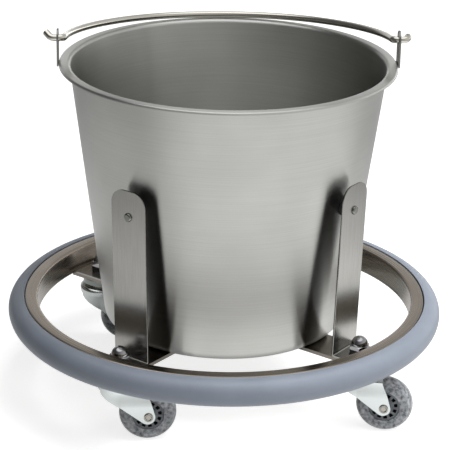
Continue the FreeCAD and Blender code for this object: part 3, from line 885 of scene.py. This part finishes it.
@dataclass
class Wheels:
    """Treads and cores of the four casters. Sizes in millimetres."""

    finishes: Finishes
    carriage: Carriage
    radius: float = 26.2
    half: float = 9.2
    shoulder_r: float = 22.0
    crown_step: float = 7.0
    offset: float = 25.5
    bush_r: float = 5.0
    boss_r: float = 7.5
    boss_half: float = 10.2
    core_r: float = 14.5
    core_half: float = 8.2
    key_r: float = 17.5
    key_half: float = 2.0
    pocket_in: float = 9.2
    pocket_out: float = 12.5
    pocket_deep: float = 4.0
    pocket_pitch: float = 30.0
    pocket_span: float = 17.5
    steps: int = 96
    core_steps: int = 144
    trails: tuple[float, ...] = (-2.65, -15.65, 62.0, -8.0)
    azimuths: tuple[float, ...] = (-135.0, -45.0, 45.0, 135.0)

    def caster(self, corner: str) -> Matrix:
        """Place of a caster whose stem is on the origin and that trails to +X.

        Args:
            corner: fl, fr, br or bl.

        Returns:
            Turn and shift in metres.
        """
        number = CORNERS.index(corner)
        angle = math.radians(self.azimuths[number])
        stem = Vector((math.cos(angle), math.sin(angle), 0)) * self.carriage.stem_r * MM
        return Matrix.Translation(stem) @ Matrix.Rotation(math.radians(self.trails[number]), 4, "Z")

    def on_axle(self) -> Matrix:
        """Lays a piece made about Z on the axle of a caster."""
        lay = Matrix.Rotation(math.radians(90), 4, "X")
        return Matrix.Translation((self.offset * MM, 0, self.radius * MM)) @ lay

    def tread(self) -> bpy.types.Object:
        """Spins the crowned tread about Z.

        Returns:
            The pattern tread.
        """
        rise = self.radius - self.shoulder_r
        bend = (rise**2 + self.half**2) / (2 * rise)
        centre = Vector((self.radius - bend, 0, 0))
        low = Vector((self.shoulder_r, 0, -self.half))
        crown = arc(centre, low, Vector((self.shoulder_r, 0, self.half)), self.crown_step)
        inner = self.core_r + WELD_GAP
        groove = self.key_half + WELD_GAP
        seat = [(inner, self.half), (inner, groove), (self.key_r + WELD_GAP, groove)]
        inside = [Vector((x, 0, z)) for x, z in seat] + [Vector((x, 0, -z)) for x, z in seat[::-1]]
        pattern = Bench.spin("tread", crown + inside, self.steps)
        pattern.data.materials.append(self.finishes.tread)
        return pattern

    def core(self) -> bpy.types.Object:
        """Spins the ribbed core about Z and sinks its pockets.

        Returns:
            The pattern core.
        """
        bore = self.bush_r + WELD_GAP
        half = [(bore, self.boss_half), (self.boss_r, self.boss_half), (self.boss_r, self.core_half),
                (self.pocket_in, self.core_half), (self.pocket_out, self.core_half),
                (self.core_r, self.core_half), (self.core_r, self.key_half), (self.key_r, self.key_half)]
        outline = [Vector((x, 0, z)) for x, z in half]
        outline += [Vector((x, 0, -z)) for x, z in half[::-1]]
        pattern = Bench.spin("core", outline, self.core_steps)
        pattern.data.materials.append(self.finishes.core)
        pattern.data.materials.append(self.finishes.pocket)
        for side in (-1, 1):
            self.sink(pattern, side)
        return Bench.finish(pattern)

    def sink(self, core: bpy.types.Object, side: int) -> None:
        """Pushes the pockets of one face of the core inwards and paints shade in them.

        Args:
            core: the pattern core, about Z.
            side: 1 for the upper face and -1 for the lower.
        """
        def mouth(spot: Vector) -> bool:
            """Says whether a face is the mouth of a pocket.

            Args:
                spot: centre of the face in millimetres.

            Returns:
                True for a face that gets pushed in.
            """
            turn = math.degrees(math.atan2(spot.y, spot.x)) % self.pocket_pitch
            inside = self.pocket_in < math.hypot(spot.x, spot.y) < self.pocket_out
            return inside and turn < self.pocket_span and abs(spot.z - side * self.core_half) < FLUSH

        Bench.pick(core, mouth)
        inwards = (0, 0, -side * self.pocket_deep * MM)
        bpy.ops.mesh.extrude_region_move(TRANSFORM_OT_translate={"value": inwards})
        # Painted shade on the pocket's bottom and walls.
        bpy.ops.mesh.select_more(use_face_step=False)
        core.active_material_index = 1
        bpy.ops.object.material_slot_assign()
        bpy.ops.object.mode_set(mode="OBJECT")

    def build(self) -> list[bpy.types.Object]:
        """Makes one tread and one core and places a copy of each on every wheel.

        Returns:
            The new pieces.
        """
        made = []
        for pattern, label, node, slot in ((self.tread(), "cast_tread_", "tread_", "tread_polyurethane"),
                                           (self.core(), "pocketed_core_", "wheel_core_", "core_nylon")):
            for corner in CORNERS:
                piece = Bench.placed(pattern, label + corner, self.caster(corner) @ self.on_axle())
                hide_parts(node + corner)
                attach(piece, "wheel_" + corner)
                made.append(piece)
            Bench.scrap(pattern)
        return made


@dataclass
class FramePieces:
    """Dresses the pieces whose shape comes straight from the frame."""

    finishes: Finishes
    nodes: dict[str, bpy.types.Object]

    def dress(self) -> None:
        """Gives every carried-over piece its finish."""
        f = self.finishes
        ways = {"ear_": f.ear, "upright_screws": f.screw, "upright_pads": f.pad, "upright_": f.strap,
                "crossbar_long": f.bar, "crossbar_": f.cross_bar, "cap_nuts": f.chrome,
                "stem_washers": f.chrome, "fork_": f.zinc, "caster_stem_": f.cup, "ball_race_": f.steel,
                "axle_": f.steel, "bush_": f.steel, "wheel_core_": f.core, "tread_": f.tread,
                "bucket_shell": f.pail, "bail_handle": f.wire, "frame_ring": f.ring, "bumper": f.bumper}
        for name, node in self.nodes.items():
            finish = next(material for start, material in ways.items() if name.startswith(start))
            node.data.materials.clear()
            node.data.materials.append(finish)


# ---- studio

@dataclass(frozen=True)
class SoftBox:
    """Square lamp: its name, place and side in metres, and power in watts."""

    name: str
    place: tuple[float, float, float]
    side: float
    watts: float


@dataclass
class Studio:
    """Pale floor, soft lamps and the camera. The room is bright on one side and dim on the other.

    Ramps on the floor run over metres from its middle. Ramps towards a side run over the cosine of the
    angle from it, and ramps of height over the sine of the elevation.
    """

    distance: float = 1.775
    elevation: float = 20.40
    azimuth: float = -8.25
    roll: float = 1.09
    aim_z: float = 0.193
    sensor_mm: float = 36.0
    focal_px: float = 1879.8
    centre_x: float = 226.2
    centre_y: float = 194.4
    frame_px: float = 450.0
    clip_far: float = 50.0
    boxes: tuple[SoftBox, ...] = (SoftBox("top_box", (0.7, -0.2, 2.2), 1.8, 52),
                                  SoftBox("key_box", (1.2, -1.8, 1.5), 1.2, 18))
    box_aim: tuple[float, float, float] = (0, 0, 0.1)
    floor_size: float = 12.0
    paper: str = "#cccccc"
    floor_lift: Ramp = Ramp(0.6, 3.0, 0.78, 1.0)
    floor_fade: Ramp = Ramp(0.4, 0.8, 1.75, 0.735)
    # Painted shadow: dims the glow that metal mirrors near the floor's middle, under the object.
    floor_shade: Ramp = Ramp(0.07, 0.23, 0.22, 1.0)
    floor_azimuth: float = -63.0
    floor_side: Ramp = Ramp(-0.25, 0.6, 0.56, 1.0)
    floor_front: Ramp = Ramp(-0.5, 0.1, 0.56, 1.0)
    sky_azimuth: float = -5.0
    sky: Ramp = Ramp(-0.9, 1.2, 0.12, 1.0)
    backdrop_azimuth: float = 81.75
    backdrop: Ramp = Ramp(0.6, 0.95, 0.0, 0.85)
    strip_azimuth: float = 45.0
    strip_side: Ramp = Ramp(0.35, 0.95, 0.0, 1.0)
    strip_height: Ramp = Ramp(0.05, 0.22, 2.2, 0.0)
    overhead: Ramp = Ramp(0.72, 0.92, 0.0, 1.7)
    room_level: float = 0.33
    mirrored_room: float = 0.84
    mirrored_share: float = 0.7

    def camera(self) -> None:
        """Sets the camera by its distance, angles, focal length and shift."""
        a = math.radians(self.azimuth)
        e = math.radians(self.elevation)
        r = math.radians(self.roll)
        back = Vector((math.sin(a) * math.cos(e), -math.cos(a) * math.cos(e), math.sin(e)))
        side = UP.cross(back).normalized()
        top = back.cross(side)
        right = side * math.cos(r) + top * math.sin(r)
        up = top * math.cos(r) - side * math.sin(r)
        place = Matrix((right, up, back)).transposed().to_4x4()
        place.translation = Vector((0, 0, self.aim_z)) + back * self.distance
        data = bpy.data.cameras.new("studio_camera")
        data.sensor_width = self.sensor_mm
        data.lens = self.focal_px / self.frame_px * self.sensor_mm
        data.shift_x = (self.frame_px / 2 - self.centre_x) / self.frame_px
        data.shift_y = (self.centre_y - self.frame_px / 2) / self.frame_px
        data.clip_end = self.clip_far
        camera = bpy.data.objects.new("studio_camera", data)
        camera.matrix_world = place
        bpy.context.collection.objects.link(camera)
        bpy.context.scene.camera = camera

    def lamp(self, box: SoftBox) -> None:
        """Hangs a square soft box that faces the object and that metal doesn't mirror.

        Args:
            box: the soft box.
        """
        data = bpy.data.lights.new(box.name, "AREA")
        data.shape = "SQUARE"
        data.size = box.side
        data.energy = box.watts
        lamp = bpy.data.objects.new(box.name, data)
        lamp.location = box.place
        lamp.rotation_mode = "QUATERNION"
        lamp.rotation_quaternion = (Vector(self.box_aim) - Vector(box.place)).to_track_quat("-Z", "Y")
        lamp.visible_glossy = False
        bpy.context.collection.objects.link(lamp)

    def ease(self, tree: bpy.types.NodeTree, ramp: Ramp, value: bpy.types.NodeSocket,
             share: bpy.types.NodeSocket | float = 1.0) -> bpy.types.NodeSocket:
        """Level that follows a ramp without a kink at either end, times a share.

        Args:
            tree: tree that gets the nodes.
            ramp: levels and where they change.
            value: the value that the level follows.
            share: what the level is multiplied by.

        Returns:
            The level as a socket.
        """
        level = add(tree, "ShaderNodeMapRange", ramp.sockets(value), interpolation_type="SMOOTHSTEP")
        return add(tree, "ShaderNodeMath", {0: level.outputs[0], 1: share}, operation="MULTIPLY").outputs[0]

    def toward(self, tree: bpy.types.NodeTree, way: bpy.types.NodeSocket, degrees: float,
               ramp: Ramp) -> bpy.types.NodeSocket:
        """Level that rises towards one side of the room.

        Args:
            tree: tree that gets the nodes.
            way: direction from the object, or a place on the floor.
            degrees: azimuth of the bright side, from +X.
            ramp: levels over the cosine of the angle from that side.

        Returns:
            The level as a socket.
        """
        angle = math.radians(degrees)
        unit = add(tree, "ShaderNodeVectorMath", {0: way}, operation="NORMALIZE").outputs["Vector"]
        cosine = add(tree, "ShaderNodeVectorMath", {0: unit, 1: (math.cos(angle), math.sin(angle), 0)},
                     operation="DOT_PRODUCT").outputs["Value"]
        return self.ease(tree, ramp, cosine)

    def shiny(self, tree: bpy.types.NodeTree) -> bpy.types.NodeSocket:
        """Tells rays that metal or glass sends into the room from all others.

        Args:
            tree: tree that gets the nodes.

        Returns:
            A socket, 1 for such a ray and else 0.
        """
        path = add(tree, "ShaderNodeLightPath").outputs
        return add(tree, "ShaderNodeMath", {0: path["Is Glossy Ray"], 1: path["Is Transmission Ray"]},
                   operation="MAXIMUM").outputs[0]

    def floor(self) -> None:
        """Lays the pale floor: real white paper under the lamps, lifted to white for the camera; the glow
        that metal mirrors has a painted shadow under the object.
        """
        Bench.clear()
        bpy.ops.mesh.primitive_plane_add(size=self.floor_size, location=(0, 0, 0))
        floor = Bench.name("studio_floor")
        material = bpy.data.materials.new("matte_white_paper")
        material.use_nodes = True
        tree = material.node_tree
        tree.nodes.clear()
        path = add(tree, "ShaderNodeLightPath")
        paper = add(tree, "ShaderNodeBsdfDiffuse", {"Color": linear(self.paper)})
        place = add(tree, "ShaderNodeTexCoord").outputs["Object"]
        reach = add(tree, "ShaderNodeVectorMath", {0: place}, operation="LENGTH").outputs["Value"]
        lift = self.ease(tree, self.floor_lift, reach, path.outputs["Is Camera Ray"])
        glow = add(tree, "ShaderNodeEmission", {"Color": WHITE, "Strength": lift})
        lit = add(tree, "ShaderNodeAddShader", {0: paper.outputs[0], 1: glow.outputs[0]})
        side = self.toward(tree, place, self.floor_azimuth, self.floor_side)
        front = self.toward(tree, place, self.backdrop_azimuth + 180, self.floor_front)
        share = add(tree, "ShaderNodeMath", {0: side, 1: front}, operation="MINIMUM").outputs[0]
        # Painted shadow under the object in the mirrored glow.
        shade = self.ease(tree, self.floor_shade, reach, share)
        level = self.ease(tree, self.floor_fade, reach, shade)
        mirrored = add(tree, "ShaderNodeEmission", {"Color": WHITE, "Strength": level})
        part = add(tree, "ShaderNodeMath", {0: self.shiny(tree), 1: self.mirrored_share},
                   operation="MULTIPLY")
        both = add(tree, "ShaderNodeMixShader",
                   {0: part.outputs[0], 1: lit.outputs[0], 2: mirrored.outputs[0]})
        add(tree, "ShaderNodeOutputMaterial", {"Surface": both.outputs[0]})
        floor.data.materials.append(material)

    def lights(self, tree: bpy.types.NodeTree, way: bpy.types.NodeSocket) -> list[bpy.types.NodeSocket]:
        """Levels of the two lights that only metal shows.

        Args:
            tree: tree that gets the nodes.
            way: direction from the object.

        Returns:
            The lit foot of the backdrop and the soft box overhead.
        """
        rise = add(tree, "ShaderNodeSeparateXYZ", {0: way}).outputs[2]
        behind = self.toward(tree, way, self.strip_azimuth, self.strip_side)
        return [self.ease(tree, self.strip_height, rise, behind), self.ease(tree, self.overhead, rise)]

    def world(self) -> None:
        """Soft grey room, dimmer on one side, with white behind the object."""
        world = bpy.data.worlds.new("studio_room")
        bpy.context.scene.world = world
        world.use_nodes = True
        tree = world.node_tree
        tree.nodes.clear()
        path = add(tree, "ShaderNodeLightPath")
        way = add(tree, "ShaderNodeTexCoord").outputs["Generated"]
        share = self.toward(tree, way, self.sky_azimuth, self.sky)
        backdrop = self.toward(tree, way, self.backdrop_azimuth, self.backdrop)
        soft = add(tree, "ShaderNodeMath", {0: share, 1: self.room_level}, operation="MULTIPLY")
        pale = add(tree, "ShaderNodeMath", {0: share, 1: backdrop}, operation="MAXIMUM")
        pale = add(tree, "ShaderNodeMath", {0: pale.outputs[0], 1: self.mirrored_room}, operation="MULTIPLY")
        for light in self.lights(tree, way):
            pale = add(tree, "ShaderNodeMath", {0: pale.outputs[0], 1: light}, operation="MAXIMUM")
        room = add(tree, "ShaderNodeBackground", {"Color": WHITE, "Strength": soft.outputs[0]})
        mirrored = add(tree, "ShaderNodeBackground", {"Color": WHITE, "Strength": pale.outputs[0]})
        white = add(tree, "ShaderNodeBackground", {"Color": WHITE, "Strength": 1.0})
        mix = add(tree, "ShaderNodeMixShader",
                  {0: self.shiny(tree), 1: room.outputs[0], 2: mirrored.outputs[0]})
        mix = add(tree, "ShaderNodeMixShader",
                  {0: path.outputs["Is Camera Ray"], 1: mix.outputs[0], 2: white.outputs[0]})
        add(tree, "ShaderNodeOutputWorld", {"Surface": mix.outputs[0]})

    def build(self) -> None:
        """Sets floor, room, lamps and camera."""
        bpy.context.scene.view_settings.view_transform = "Standard"
        self.floor()
        self.world()
        for box in self.boxes:
            self.lamp(box)
        self.camera()


def main() -> None:
    """Builds the pieces in order around the frame and reports each."""
    logging.basicConfig(level=logging.INFO, format="%(name)s: %(message)s")
    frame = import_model()
    finishes = Finishes()
    FramePieces(finishes, frame["nodes"]).dress()
    pail = Pail(finishes)
    carriage = Carriage(finishes)
    for group in (pail, Bail(finishes, pail), carriage, Wheels(finishes, carriage)):
        for piece in group.build():
            LOG.info("%s: %d faces", piece.name, len(piece.data.polygons))
    Studio().build()


if __name__ == "__main__":
    main()
